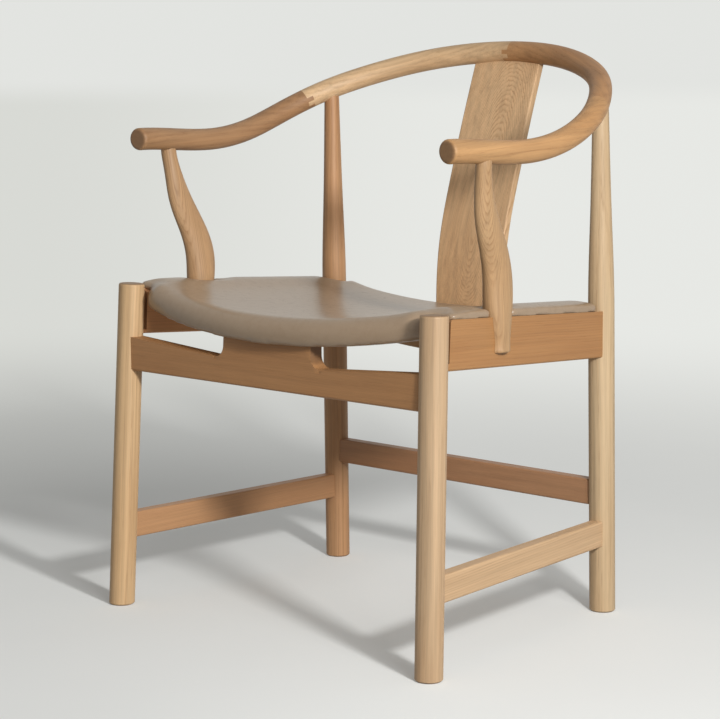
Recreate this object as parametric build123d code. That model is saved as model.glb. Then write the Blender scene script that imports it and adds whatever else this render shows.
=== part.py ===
from build123d import *
import os
from math import cos, pi, radians, sqrt, tan

# Horseshoe back armchair: an ash frame of round legs, flat rails and a bent crest rail, and a leather seat.
#
# Millimetres. The chair faces -Y, +X is its right hand as seen from the front, and the floor is Z = 0.
# The model is drawn with Y = 0 at the middle of the front feet and is moved at the end, so that the
# origin lies on the floor under the middle of the whole chair.

os.makedirs("parts", exist_ok=True)

# ---------------------------------------------------------------- legs
leg_diameter = 36.5
front_leg_height = 460.0
front_foot_half_spacing = 285.5
front_top_half_spacing = 275.5
front_leg_rake = 19.5            # how far the top stands behind the foot
front_leg_top_round = 3.0
foot_chamfer = 2.0

rear_foot_half_spacing = 252.0
rear_foot_y = 425.0
rear_top_y = 407.0               # where the leg meets the crest rail's centreline
rear_taper_above_seat = 8.0      # the leg begins to thin this far above the seat's underside
rear_mid_share = 0.47            # of the way from there to the crest rail
rear_mid_diameter = 29.2
rear_top_diameter = 21.5
rear_tenon_diameter = 15.0
rear_tenon_past_centre = 3.0     # past the crest rail's centreline

# ---------------------------------------------------------------- crest rail
crest_diameter = 31.2
crest_half_width = 287.5
crest_rear_y = 527.7
crest_top_height = 781.5         # of the centreline, in the middle of the back
arm_height = 656.5               # of the centreline, where the arm is lowest
arm_end_y = 37.0
arm_end_round = 5.0
crest_shape = [                  # from the arm's end to the middle of the back: share of the half
    (0.970, 0.000, 0.033),       # width, of the depth and of the rise
    (0.990, 0.157, 0.014),
    (0.998, 0.323, 0.000),
    (1.000, 0.480, 0.104),
    (0.971, 0.618, 0.314),
    (0.878, 0.738, 0.537),
    (0.724, 0.848, 0.727),
    (0.507, 0.930, 0.880),
    (0.000, 1.000, 1.000),
]
finger_length = 10.0
fingers_across = 5               # finger widths in the rail's diameter
arm_joint_lead = 34.0            # how far the arm joint lies ahead of the rear leg

# ---------------------------------------------------------------- rails and stretchers
rail_thickness = 22.0
side_rail_height = 62.5
rail_edge_round = 3.5
front_rail_drop = 81.6           # from the seat's underside to the rail's bottom edge
front_rail_end_height = 48.5
front_rail_notch_height = 36.0
front_rail_raised_half = 80.0
front_rail_notch_round = 18.0
rear_rail_height = 57.0
rear_rail_chamfer = 2.0
rear_rail_setback = 5.5          # behind the middle of the rear legs, so that the splat can lap it

stretcher_thickness = 20.0
side_stretcher_bottom = 95.5
side_stretcher_height = 36.5
rear_stretcher_bottom = 151.7
rear_stretcher_height = 36.3
stretcher_edge_round = 3.0

# ---------------------------------------------------------------- joints
tenon_thickness = 10.0
tenon_shoulder = 8.0
tenon_past_centre = 8.0          # how far a long tenon runs past the middle of the leg
mortise_gap = 0.1                # on each side of a tenon
mortise_end_gap = 1.0            # beyond a tenon's end, for glue
mortise_wall = 2.5               # wood between two tenons in one leg

# ---------------------------------------------------------------- arm supports
support_base_y = 150.8
support_top_y = 105.0
support_inset = 6.2              # its middle stands this far inside the side rail's outer face
support_shape = [                # share of the height from the rail to the arm, of the lean out and of
    (0.041, 0.00, 0.00, 17.2, 22.0),    # the sweep forward, then half the width in X and in Y
    (0.212, 0.00, 0.01, 15.6, 24.4),
    (0.424, 0.29, 0.31, 12.9, 24.4),
    (0.641, 0.60, 0.76, 11.6, 18.8),
    (0.825, 0.91, 0.98, 10.7, 12.3),
    (1.000, 1.00, 1.00, 10.4, 10.5),
]
support_lug = [                  # depth below the rail's top, half the width in X and in Y
    (44.5, 17.0, 17.9),
    (16.0, 17.2, 18.0),
]
support_tenon_diameter = 13.0
support_tenon_depth = 4.0        # past the arm's centreline
support_lug_round = 3.0
dowel_diameter = 8.0
dowel_in_rail = 15.0
dowel_in_lug = 7.0
dowel_depths = (12.5, 33.0)      # below the rail's top
dowel_gap = 0.05

# ---------------------------------------------------------------- back splat
splat_width = 119.5
splat_thickness = 12.0
splat_let_in = 2.4               # into the rear rail's back face
splat_foot_rise = 11.0           # above the rear rail's bottom edge
splat_straight = 42.0            # upright from the rail's top to here
splat_top_forward = 8.2          # of its front face, from the crest rail's centreline
splat_top_drop = 13.6            # of its front face's top edge, from the crest rail's centreline
splat_bend = [                   # share of the height above the straight foot, and of the sweep back
    (0.213, 0.084),
    (0.457, 0.325),
    (0.732, 0.651),
]
splat_edge_round = 2.5
splat_shoulder = 12.0            # on each side of its tenon
splat_tenon_thickness = 8.0
splat_tenon_depth = 10.0         # into the crest rail's underside

# ---------------------------------------------------------------- seat
seat_pitch = 3.05                # degrees down towards the back
seat_dish_radius = 1250.0        # of the underside, from side to side
seat_reference_y = 36.0
seat_below_leg_top = 39.6        # from the front legs' tops down to its underside, in the middle
seat_panel_thickness = 8.0
seat_foam_thickness = 5.0
leather_thickness = 1.2
seat_front_y = -12.5             # front face of the lip in the middle
seat_rear_overhang = 6.2         # behind the middle of the rear legs
seat_lip_drop = 34.0             # from the top surface to the lip's lower edge
seat_lip_inner_radius = 5.0
seat_bow_radius = 900.0          # of the front edge, from above
seat_roll_width = 43.0           # at each side, where the padding thins towards the edge
seat_roll_fall = 10.4            # how much thinner the seat is at the side rail's outer face
seat_roll_power = 1.5            # above 1, so that the thinning starts softly
seat_corner_setback = 24.0       # of the cut corner, from the middle of the front leg
seat_leg_gap = 6.0               # behind the front leg
seat_rear_notch_gap = 11.2       # around the rear leg
seat_notch_round = 15.0
seat_corner_round = 9.0
support_notch_gap = 4.0
seat_opening_margin = 36.0       # leather turned under, beyond the rails' inner faces
seat_opening_round = 20.0
screw_diameter = 4.5
screw_head_diameter = 9.0
screw_head_height = 3.0
screw_counterbore = 30.0         # depth of the hole that the head sits in
screw_bite = 0.75                # share of the panel's thickness that the tip reaches into
screw_gap = 0.1
screw_head_gap = 0.5
side_screw_shares = (0.18, 0.77)  # of the way from the front leg to the rear leg
front_screw_share = 0.69         # of the raised half of the front rail
rear_screw_share = 0.60          # of the rear legs' half spacing

# ---------------------------------------------------------------- glides
glide_diameter = 20.0
glide_thickness = 4.0
glide_pin_diameter = 4.0
glide_pin_length = 10.0
glide_gap = 0.1

# ---------------------------------------------------------------- worked out from the above
leg_radius = leg_diameter / 2
crest_radius = crest_diameter / 2
seat_thickness = seat_panel_thickness + seat_foam_thickness + 2 * leather_thickness
pitch_slope = tan(radians(seat_pitch))
finger_thickness = crest_diameter / fingers_across
seat_underside_z = front_leg_height - seat_below_leg_top
seat_front_notch_x = front_top_half_spacing - seat_corner_setback
seat_roll_start = front_top_half_spacing + rail_thickness / 2 - seat_roll_width
front_rail_bottom = seat_underside_z - front_rail_drop
front_rail_notch_top = front_rail_bottom + front_rail_notch_height
rear_taper_start = seat_underside_z + rear_taper_above_seat
chair_front_y = -leg_radius
chair_rear_y = crest_rear_y + crest_radius
chair_size = 2 * front_foot_half_spacing + chair_rear_y + crest_top_height
to_origin = Pos(0, -(chair_front_y + chair_rear_y) / 2, 0)


def front_leg_at(side, z):
    """Middle of a front leg at height z; side is +1 on the right and -1 on the left."""
    share = z / front_leg_height
    half = front_foot_half_spacing + (front_top_half_spacing - front_foot_half_spacing) * share
    return Vector(side * half, front_leg_rake * share, z)


def rear_leg_at(side, z):
    """Middle of a rear leg at height z."""
    share = z / crest_over_leg.Z
    half = rear_foot_half_spacing + (crest_over_leg.X - rear_foot_half_spacing) * share
    return Vector(side * half, rear_foot_y + (crest_over_leg.Y - rear_foot_y) * share, z)


def crest_curve():
    """Centreline of the whole horseshoe, from the left arm's end to the right arm's end."""
    depth = crest_rear_y - arm_end_y
    rise = crest_top_height - arm_height
    right = []
    for x, y, z in crest_shape:
        right.append(Vector(x * crest_half_width, arm_end_y + y * depth, arm_height + z * rise))
    left = [Vector(-point.X, point.Y, point.Z) for point in right[:-1]]
    return Spline(*left, *reversed(right))


def crest_point_at_y(curve, y):
    """Point on the right half of the crest rail's centreline at a given Y, and its direction."""
    low, high = 0.5, 1.0
    for _ in range(40):
        middle = (low + high) / 2
        if (curve @ middle).Y > y:
            low = middle
        else:
            high = middle
    return curve @ low, curve % low


crest_line = crest_curve()
crest_over_leg, _ = crest_point_at_y(crest_line, rear_top_y)
arm_over_support, _ = crest_point_at_y(crest_line, support_top_y)


def beam(start, end, width, height):
    """Straight bar of rectangular section between two points, its height in the vertical plane."""
    run = end - start
    sideways = Vector(0, 0, 1).cross(run).normalized()
    section = Plane(origin=start, x_dir=sideways, z_dir=run.normalized())
    return extrude(section * Rectangle(width, height), amount=run.length)


def rounded_beam(start, end, width, height, radius, edge_count):
    """Beam with its lowest long edges rounded: two of them, or all four."""
    bar = beam(start, end, width, height)
    ends = bar.faces().sort_by(Axis(start, end - start))
    long_edges = bar.edges() - ends[0].edges() - ends[-1].edges()
    return fillet(long_edges.sort_by(Axis.Z)[:edge_count], radius)


def leg_plane(point, direction):
    """Plane across a leg at a point, its X axis turned out to the chair's side."""
    return Plane(origin=point, x_dir=(point.X, 0, 0), z_dir=direction)


def leg_core(foot, direction, length):
    """Plain round bar along a leg's axis, starting a little under the floor."""
    start = foot - direction * leg_diameter
    return extrude(leg_plane(start, direction) * Circle(leg_radius), amount=length + leg_diameter)


def below_floor():
    """Block that trims the feet level with the floor."""
    return Pos(0, rear_foot_y / 2, -leg_diameter) * Box(chair_size, chair_size, 2 * leg_diameter)


# ---------------------------------------------------------------- seat surfaces

def dish_rise(x):
    """How much the dished underside rises from the middle to x."""
    return seat_dish_radius - sqrt(seat_dish_radius ** 2 - x ** 2)


def bed_height(x, y):
    """Height of the seat's underside, which the rails are shaped to."""
    return seat_underside_z + dish_rise(x) - (y - seat_reference_y) * pitch_slope


def front_bow(x):
    """How far the front edge sweeps back at x."""
    reach = min(abs(x), seat_front_notch_x)
    return seat_bow_radius - sqrt(seat_bow_radius ** 2 - reach ** 2)


def level(offset):
    """Surface at a fixed offset from the seat's underside."""
    return lambda x: offset


def cover_top(x):
    """Offset of the seat's top at x: it thins to a soft edge at each side."""
    share = max(abs(x) - seat_roll_start, 0) / seat_roll_width
    return seat_thickness - seat_roll_fall * share ** seat_roll_power


def foam_top(x):
    """Offset of the foam's top, under the leather."""
    return cover_top(x) - leather_thickness


def panel_depth(x):
    """Thickness of the plywood at x, which shares the thinning with the foam."""
    inside = cover_top(x) - 2 * leather_thickness
    return inside * seat_panel_thickness / (seat_panel_thickness + seat_foam_thickness)


def panel_top(x):
    """Offset of the plywood's top."""
    return leather_thickness + panel_depth(x)


def seat_section(x, low, high, trim):
    """Lengthwise section of the seat at x, between two surfaces given by their offsets.

    The outline runs forward along the lower surface, down the inside of the rolled lip, across its
    edge, up the outside and back along the upper surface. trim shortens its two ends.
    """
    origin = (x, seat_reference_y, seat_underside_z + dish_rise(x))
    across = Plane(origin=origin, x_dir=(0, 1, -pitch_slope), z_dir=(-1, 0, 0))
    up = -1 if across.y_dir.Z < 0 else 1
    rear = (seat_rear_y() - seat_reference_y) / cos(radians(seat_pitch)) - trim
    front = seat_front_y - seat_reference_y + front_bow(x)
    bend_y = front + seat_thickness + seat_lip_inner_radius
    lip_end = seat_thickness - seat_lip_drop + trim
    low_z = low(x)
    high_z = high(x)
    inner = seat_lip_inner_radius + low_z
    outer = seat_lip_inner_radius + high_z
    half = sqrt(0.5)

    def at(y, z):
        return (y, up * z)

    def on_bend(radius, share_y, share_z):
        return at(bend_y - radius * share_y, radius * share_z - seat_lip_inner_radius)

    edges = [
        Line(at(rear, low_z), at(bend_y, low_z)),
        ThreePointArc(at(bend_y, low_z), on_bend(inner, half, half), on_bend(inner, 1, 0)),
        Line(on_bend(inner, 1, 0), at(bend_y - inner, lip_end)),
        Line(at(bend_y - inner, lip_end), at(bend_y - outer, lip_end)),
        Line(at(bend_y - outer, lip_end), on_bend(outer, 1, 0)),
        ThreePointArc(on_bend(outer, 1, 0), on_bend(outer, half, half), at(bend_y, high_z)),
        Line(at(bend_y, high_z), at(rear, high_z)),
        Line(at(rear, high_z), at(rear, low_z)),
    ]
    return across * make_face(Curve() + edges)


def seat_layer(low, high, trim):
    """One layer of the seat, wider than the seat, lofted across it from section to section."""
    half_stations = [seat_roll_start * share for share in (0, 0.3, 0.6, 0.85, 1)]
    half_stations += [seat_roll_start + seat_roll_width * share for share in (0.25, 0.5, 0.75, 1.08)]
    stations = [-x for x in reversed(half_stations[1:])] + half_stations
    return loft([seat_section(x, low, high, trim) for x in stations])


def seat_rear_y():
    """The seat's rear edge."""
    return rear_leg_at(1, seat_underside_z).Y + seat_rear_overhang


def rail_outer_x(y):
    """X of a side rail's outer face at y."""
    front = front_leg_at(1, side_rail_mid_z(0))
    rear = rear_leg_at(1, side_rail_mid_z(1))
    share = (y - front.Y) / (rear.Y - front.Y)
    return front.X + (rear.X - front.X) * share + rail_thickness / 2


def side_rail_mid_z(end):
    """Middle height of a side rail at the front leg (0) or the rear leg (1)."""
    y = rear_foot_y if end else front_leg_rake
    top = bed_height(front_top_half_spacing, y) if not end else bed_height(rear_foot_half_spacing, y)
    return top - side_rail_height / 2


def seat_outline(inset):
    """Outline of the seat from above, notched around the legs and the arm supports."""
    front_leg = front_leg_at(1, front_leg_height)
    rear_leg = rear_leg_at(1, bed_height(rear_foot_half_spacing, rear_foot_y))
    y_front = front_leg.Y + leg_radius + seat_leg_gap + inset
    y_rear = rear_leg.Y - leg_radius - seat_rear_notch_gap - inset
    x_rear = rear_leg.X - leg_radius - seat_rear_notch_gap - inset
    x_front = seat_front_notch_x - inset
    support_half_x = max(section[3] for section in support_shape)
    support_half_y = max(section[4] for section in support_shape)
    support_x = rail_outer_x(support_base_y) - support_inset - support_half_x - support_notch_gap - inset
    low = support_base_y - support_half_y - support_notch_gap / 2 - inset
    high = support_base_y + support_half_y + support_notch_gap / 2 + inset
    far = leg_diameter + seat_lip_drop
    points = [
        (0, -far), (x_front, -far), (x_front, y_front),
        (rail_outer_x(y_front) - inset, y_front), (rail_outer_x(low) - inset, low),
        (support_x, low), (support_x, high), (rail_outer_x(high) - inset, high),
        (rail_outer_x(y_rear) - inset, y_rear), (x_rear, y_rear),
        (x_rear, rear_foot_y + far), (0, rear_foot_y + far),
    ]
    half = make_face(Polyline(*points, close=True))

    def corner(x, y):
        return half.vertices().sort_by_distance((x, y, 0))[0]

    half = fillet([corner(*points[2]), corner(*points[9])], seat_notch_round + inset)
    half = fillet([corner(*points[index]) for index in (3, 8)], seat_corner_round - inset)
    half = fillet([corner(*points[index]) for index in (4, 7)], seat_corner_round / 2 - inset)
    half = fillet([corner(*points[index]) for index in (5, 6)], seat_corner_round / 2 + inset)
    return half + mirror(half, Plane.YZ)


def seat_span():
    """More than the seat rises above its underside's middle, and more than it drops below."""
    return 2 * (dish_rise(front_top_half_spacing) + seat_thickness + seat_lip_drop)


def tall_block(outline):
    """A flat outline as a block that runs from well below the seat to well above it."""
    return extrude(Pos(0, 0, seat_underside_z - seat_span()) * outline, amount=2 * seat_span())


def seat_blank(spare):
    """Everything that the covered seat fills, before its outline is cut, made longer by spare."""
    return seat_layer(level(0), level(seat_thickness), -spare)


# ---------------------------------------------------------------- rails

def side_rail_ends(side):
    """Middle of a side rail at its two legs."""
    front = front_leg_at(side, side_rail_mid_z(0))
    rear = rear_leg_at(side, side_rail_mid_z(1))
    return front, rear


def rear_rail_y():
    """Middle of the rear rail's thickness."""
    return rear_leg_at(1, side_rail_mid_z(1)).Y + rear_rail_setback


def side_rail_tenon(side, gap):
    """Tenon bar of a side rail. It stops short of the rear rail's tenon inside the rear leg."""
    front, rear = side_rail_ends(side)
    direction = (rear - front).normalized()
    rear_stop = rear_rail_y() - tenon_thickness / 2 - mortise_wall
    end_gap = mortise_end_gap if gap else 0
    start = front - direction * (tenon_past_centre + end_gap)
    end = front + direction * ((rear_stop - front.Y) / direction.Y + end_gap)
    return beam(start, end, tenon_thickness + 2 * gap, side_rail_height - 2 * tenon_shoulder + 2 * gap)


def side_rail(side, blank):
    """Side rail: rounded board under the seat's edge, its top shaped to the dished seat."""
    front, rear = side_rail_ends(side)
    spare = seat_thickness / 2
    lift = Vector(0, 0, spare / 2)
    height = side_rail_height + spare
    board = rounded_beam(front + lift, rear + lift, rail_thickness, height, rail_edge_round, 2)
    board = board - blank
    board = board - front_leg_round(side) - rear_leg_round(side)
    board = board + side_rail_tenon(side, 0)
    for screw in side_screw_places(side):
        board = board - screw_hole(screw)
    for dowel in support_dowel_places(side):
        board = board - dowel_at(dowel, dowel_gap)
    return board


def cross_tenon(leg_at, z_low, z_high, y, gap):
    """Tenon bar of a rail that crosses the chair between two legs."""
    middle = (z_low + z_high) / 2
    half = leg_at(1, middle).X + tenon_past_centre + (mortise_end_gap if gap else 0)
    height = z_high - z_low - 2 * tenon_shoulder + 2 * gap
    return Pos(0, y, middle) * Box(2 * half, tenon_thickness + 2 * gap, height)


def front_rail_y():
    """Middle of the front rail's thickness."""
    return front_leg_at(1, front_rail_bottom + front_rail_end_height / 2).Y


def front_rail_tenon(gap):
    """Level tenon bar of the front rail."""
    return cross_tenon(front_leg_at, front_rail_bottom, front_rail_notch_top, front_rail_y(), gap)


def front_rail(blank):
    """Front rail: its middle rises to the seat, between notches that clear the seat's lip."""
    half = front_leg_at(1, front_rail_bottom).X
    end_top = front_rail_bottom + front_rail_end_height
    raised_top = bed_height(0, seat_front_y) + seat_thickness / 2
    low_x = front_rail_raised_half + front_rail_notch_round
    right = [
        (half, front_rail_bottom), (half, end_top), (low_x, front_rail_notch_top),
        (front_rail_raised_half, front_rail_notch_top), (front_rail_raised_half, raised_top),
    ]
    left = [(-x, z) for x, z in reversed(right)]
    outline = make_face(Polyline(*right, *left, close=True))
    corners = []
    for side in (1, -1):
        place = (side * front_rail_raised_half, front_rail_notch_top, 0)
        corners.append(outline.vertices().sort_by_distance(place)[0])
    outline = fillet(corners, 0.9 * front_rail_notch_round)
    face = Plane(origin=(0, front_rail_y() + rail_thickness / 2, 0), x_dir=(1, 0, 0), z_dir=(0, -1, 0))
    board = extrude(face * outline, amount=rail_thickness)
    board = fillet(board.edges().filter_by(Axis.X).group_by(Axis.Z)[0], rail_edge_round)
    board = board - (blank & Pos(0, 0, raised_top) * Box(2 * low_x, chair_size, chair_size))
    for side in (1, -1):
        board = board - front_leg_round(side)
    board = board + front_rail_tenon(0)
    for screw in front_screw_places():
        board = board - screw_hole(screw)
    return board


def rear_rail_low_z():
    """Lowest point of the rear rail's top, under the middle of the seat."""
    return bed_height(0, rear_rail_y())


def rear_rail_tenon(gap):
    """Level tenon bar of the dished rear rail: it lies inside the rail's band at the legs."""
    top = bed_height(rear_foot_half_spacing - leg_radius, rear_rail_y())
    return cross_tenon(rear_leg_at, top - rear_rail_height, top, rear_rail_y(), gap)


def rear_rail(blank):
    """Rear rail: a band that follows the seat's dish, with a housing for the splat's foot."""
    y = rear_rail_y()
    centre_z = rear_rail_low_z() + seat_dish_radius
    outer = seat_dish_radius + rear_rail_height
    spare = seat_thickness / 2
    face = Plane(origin=(0, y + rail_thickness / 2, centre_z), x_dir=(1, 0, 0), z_dir=(0, -1, 0))
    ring = Circle(outer) - Circle(seat_dish_radius - spare)
    half = rear_foot_half_spacing
    window = Pos(0, -outer) * Rectangle(2 * half, outer)
    board = extrude(face * (ring & window), amount=rail_thickness)
    lower = board.edges().filter_by(GeomType.CIRCLE).sort_by(Axis.Z)[:2]
    board = chamfer(lower, rear_rail_chamfer)
    board = board - blank
    for side in (1, -1):
        board = board - rear_leg_round(side)
    between = Pos(0, y, rear_rail_low_z()) * Box(2 * (half - leg_diameter), leg_diameter, chair_size)
    board = board + (rear_rail_tenon(0) - between)
    board = board - splat_body()
    for screw in rear_screw_places():
        board = board - screw_hole(screw)
    return board


def stretcher(start, end, tenon):
    """Low board between two legs, given by its middle line."""
    height = side_stretcher_height if start.Y != end.Y else rear_stretcher_height
    board = rounded_beam(start, end, stretcher_thickness, height, stretcher_edge_round, 4)
    for side in (1, -1):
        board = board - front_leg_round(side) - rear_leg_round(side)
    return board + tenon


def side_stretcher_line(side):
    """Middle line of a side stretcher, between the middles of two legs."""
    z = side_stretcher_bottom + side_stretcher_height / 2
    return front_leg_at(side, z), rear_leg_at(side, z)


def side_stretcher_tenon(side, gap):
    """Tenon bar of a side stretcher."""
    start, end = side_stretcher_line(side)
    direction = (end - start).normalized()
    reach = direction * (tenon_past_centre + (mortise_end_gap if gap else 0))
    height = side_stretcher_height - 2 * tenon_shoulder + 2 * gap
    return beam(start - reach, end + reach, tenon_thickness + 2 * gap, height)


def rear_stretcher_line():
    """Middle line of the rear stretcher."""
    z = rear_stretcher_bottom + rear_stretcher_height / 2
    return rear_leg_at(-1, z), rear_leg_at(1, z)


def rear_stretcher_tenon(gap):
    """Tenon bar of the rear stretcher."""
    top = rear_stretcher_bottom + rear_stretcher_height
    return cross_tenon(rear_leg_at, rear_stretcher_bottom, top, rear_stretcher_line()[0].Y, gap)


# ---------------------------------------------------------------- legs

def front_leg_axis(side):
    """Foot and unit direction of a front leg."""
    foot = front_leg_at(side, 0)
    return foot, (front_leg_at(side, front_leg_height) - foot).normalized()


def rear_leg_axis(side):
    """Foot and unit direction of a rear leg."""
    foot = rear_leg_at(side, 0)
    return foot, (rear_leg_at(side, crest_over_leg.Z) - foot).normalized()


def front_leg_round(side):
    """The plain round of a front leg, which rails are shouldered to."""
    foot, direction = front_leg_axis(side)
    return leg_core(foot, direction, (front_leg_at(side, front_leg_height) - foot).length)


def rear_leg_round(side):
    """The turned round of a rear leg, thinning from the seat up to the crest rail."""
    foot, direction = rear_leg_axis(side)
    scale = (rear_leg_at(side, crest_over_leg.Z) - foot).length / crest_over_leg.Z
    low = -leg_diameter
    taper = rear_taper_start * scale
    top = crest_over_leg.Z * scale
    middle = taper + (top - taper) * rear_mid_share
    lower_tangent = (0, 1)
    edges = [
        Line((0, low), (leg_radius, low)),
        Line((leg_radius, low), (leg_radius, taper)),
        Spline((leg_radius, taper), (rear_mid_diameter / 2, middle), (rear_top_diameter / 2, top),
               tangents=[lower_tangent, (rear_top_diameter / 2 - rear_mid_diameter / 2, top - middle)]),
        Line((rear_top_diameter / 2, top), (0, top)),
        Line((0, top), (0, low)),
    ]
    profile = Plane.XZ * make_face(Curve() + edges)
    return leg_plane(foot, direction).location * revolve(profile, Axis.Z)


def glide(point, gap):
    """Foot insert: a disc with a pin, flush with the floor."""
    disc = Pos(0, 0, glide_thickness / 2) * Cylinder(glide_diameter / 2 + gap, glide_thickness)
    pin_height = glide_pin_length + gap
    pin = Pos(0, 0, glide_thickness + pin_height / 2) * Cylinder(glide_pin_diameter / 2 + gap, pin_height)
    return Pos(point.X, point.Y, 0) * (disc + pin)


def finish_foot(leg, foot):
    """Trim a leg to the floor, break the edge of its foot and let in the glide."""
    leg = leg - below_floor()
    rim = leg.edges().group_by(Axis.Z)[0]
    leg = chamfer(rim, foot_chamfer)
    return leg - glide(foot, glide_gap)


def front_leg(side):
    """Front leg: splayed round post with a softened flat top and three mortises."""
    foot, direction = front_leg_axis(side)
    leg = front_leg_round(side)
    leg = fillet(leg.edges().group_by(Axis.Z)[-1], front_leg_top_round)
    leg = finish_foot(leg, foot)
    leg = leg - front_rail_tenon(mortise_gap)
    leg = leg - side_rail_tenon(side, mortise_gap)
    return leg - side_stretcher_tenon(side, mortise_gap)


def rear_leg(side, crest):
    """Rear leg: round post that thins above the seat, coped under the crest rail and tenoned into it."""
    foot, direction = rear_leg_axis(side)
    leg = finish_foot(rear_leg_round(side), foot)
    leg = leg - crest
    leg = max(leg.solids(), key=lambda solid: solid.volume)
    leg = leg + rear_leg_tenon(side, 0)
    leg = leg - rear_rail_tenon(mortise_gap)
    leg = leg - side_rail_tenon(side, mortise_gap)
    leg = leg - side_stretcher_tenon(side, mortise_gap)
    return leg - rear_stretcher_tenon(mortise_gap)


def rear_leg_tenon(side, gap):
    """Round tenon at the top of a rear leg."""
    foot, direction = rear_leg_axis(side)
    top = rear_leg_at(side, crest_over_leg.Z) + direction * (rear_tenon_past_centre + gap * 5)
    start = top - direction * (crest_diameter + rear_tenon_past_centre)
    section = Plane(origin=start, z_dir=direction) * Circle(rear_tenon_diameter / 2 + gap)
    return extrude(section, amount=(top - start).length)


# ---------------------------------------------------------------- crest rail

def crest_round():
    """The whole horseshoe as one round bar with softened ends."""
    section = Plane(origin=crest_line @ 0, z_dir=crest_line % 0) * Circle(crest_radius)
    bar = sweep(section, path=crest_line)
    ends = bar.faces().sort_by(SortBy.AREA)[:2]
    return fillet(ends[0].edges() + ends[1].edges(), arm_end_round)


def finger_comb(origin, along):
    """Block ahead of a finger joint, with two fingers of its own that reach back through the joint."""
    reach = 2 * chair_size
    frame = Plane(origin=origin, x_dir=along, z_dir=Vector(0, 0, 1) - along * along.Z)
    ahead = Pos(finger_length / 2 + reach / 2, 0, 0) * Box(reach, reach, reach)
    upper = Box(finger_length, 2 * crest_diameter, finger_thickness)
    lower = Box(finger_length, 2 * crest_diameter, 3 * finger_thickness)
    lower = Pos(0, 0, -crest_radius - finger_thickness / 2) * lower
    return frame.location * (ahead + lower + upper)


def crest_pieces(bar):
    """Cut the horseshoe into two arms and two back lengths at its finger joints."""
    middle = finger_comb(crest_line @ 0.5, Vector(1, 0, 0))
    right_half = bar & middle
    left_half = bar - middle
    joint, direction = crest_point_at_y(crest_line, rear_top_y - arm_joint_lead)
    right_comb = finger_comb(joint, direction)
    left_comb = mirror(right_comb, Plane.YZ)
    return {
        "crest_right_back": right_half - right_comb,
        "crest_right_arm": right_half & right_comb,
        "crest_left_back": left_half - left_comb,
        "crest_left_arm": left_half & left_comb,
    }


# ---------------------------------------------------------------- arm supports

def support_bed():
    """The point on a right side rail's top that an arm support stands on, under the support's middle."""
    x = rail_outer_x(support_base_y) - support_inset
    return Vector(x, support_base_y, bed_height(x, support_base_y))


def support_round(side):
    """The shaped post of an arm support, lofted through oval sections."""
    base = support_bed()
    climb = arm_over_support - base
    sections = [Pos(side * base.X, base.Y, base.Z - depth) * Ellipse(half_x, half_y)
                for depth, half_x, half_y in support_lug]
    for height, lean, sweep_share, half_x, half_y in support_shape:
        place = base + Vector(climb.X * lean, climb.Y * sweep_share, climb.Z * height)
        sections.append(Pos(side * place.X, place.Y, place.Z) * Ellipse(half_x, half_y))
    post = loft(sections)
    return fillet(post.edges().group_by(Axis.Z)[0], support_lug_round)


def support_tenon(side, gap):
    """Round tenon at the top of an arm support."""
    top = arm_over_support.Z + support_tenon_depth + gap * 5
    place = Pos(side * arm_over_support.X, arm_over_support.Y, top - crest_radius)
    return place * Cylinder(support_tenon_diameter / 2 + gap, crest_diameter)


def rail_prism(side):
    """The side rail's band, run inwards and down, which the arm support is lapped over."""
    front, rear = side_rail_ends(side)
    extra = 5 * leg_diameter
    inward = Vector(-side, 0, 0) * extra / 2
    lift = Vector(0, 0, seat_thickness / 2 - extra / 2)
    width = rail_thickness + extra
    return beam(front + lift + inward, rear + lift + inward, width, side_rail_height + extra)


def arm_support(side, crest, blank):
    """Arm support: shouldered on the side rail, with a lug down its outer face and a tenon up top."""
    post = support_round(side) - crest
    post = max(post.solids(), key=lambda solid: solid.volume)
    bed = rail_prism(side) - blank
    post = post - bed
    post = max(post.solids(), key=lambda solid: solid.volume)
    post = post + support_tenon(side, 0)
    for dowel in support_dowel_places(side):
        post = post - dowel_at(dowel, dowel_gap)
    return post


def support_dowel_places(side):
    """Start and end of each dowel between a side rail and the lug on its outer face."""
    face_x = rail_outer_x(support_base_y)
    places = []
    for depth in dowel_depths:
        z = support_bed().Z - depth
        inner = Vector(side * (face_x - dowel_in_rail), support_base_y, z)
        places.append((inner, Vector(side * (face_x + dowel_in_lug), support_base_y, z)))
    return places


def dowel_at(place, gap):
    """Round dowel between two points."""
    start, end = place
    direction = (end - start).normalized()
    section = Plane(origin=start - direction * gap, z_dir=direction) * Circle(dowel_diameter / 2 + gap)
    return extrude(section, amount=(end - start).length + 2 * gap)


# ---------------------------------------------------------------- back splat

def splat_front_points():
    """Y and Z of the splat's front face, from the foot up."""
    foot_y = rear_rail_y() + rail_thickness / 2 - splat_let_in
    foot_z = rear_rail_low_z() - rear_rail_height + splat_foot_rise
    straight_z = rear_rail_low_z() + splat_straight
    rise = crest_top_height - splat_top_drop - straight_z
    sweep_back = crest_rear_y - splat_top_forward - foot_y
    bend = [(foot_y + back * sweep_back, straight_z + up * rise) for up, back in splat_bend + [(1, 1)]]
    return [Vector(foot_y, foot_z), Vector(foot_y, straight_z)] + [Vector(*point) for point in bend]


def splat_body():
    """The bent board of the splat, from its foot to above the crest rail's underside."""
    front = splat_front_points()
    directions = [(0, 1), front[-1] - front[-2]]
    face = Spline(*front, tangents=directions)
    back = Spline(*offset_points(face), tangents=directions)
    outline = make_face(Curve() + [face, Line(face @ 1, back @ 1), back, Line(back @ 0, face @ 0)])
    side = Plane(origin=(-splat_width / 2, 0, 0), x_dir=(0, 1, 0), z_dir=(1, 0, 0))
    return extrude(side * outline, amount=splat_width)


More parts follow.
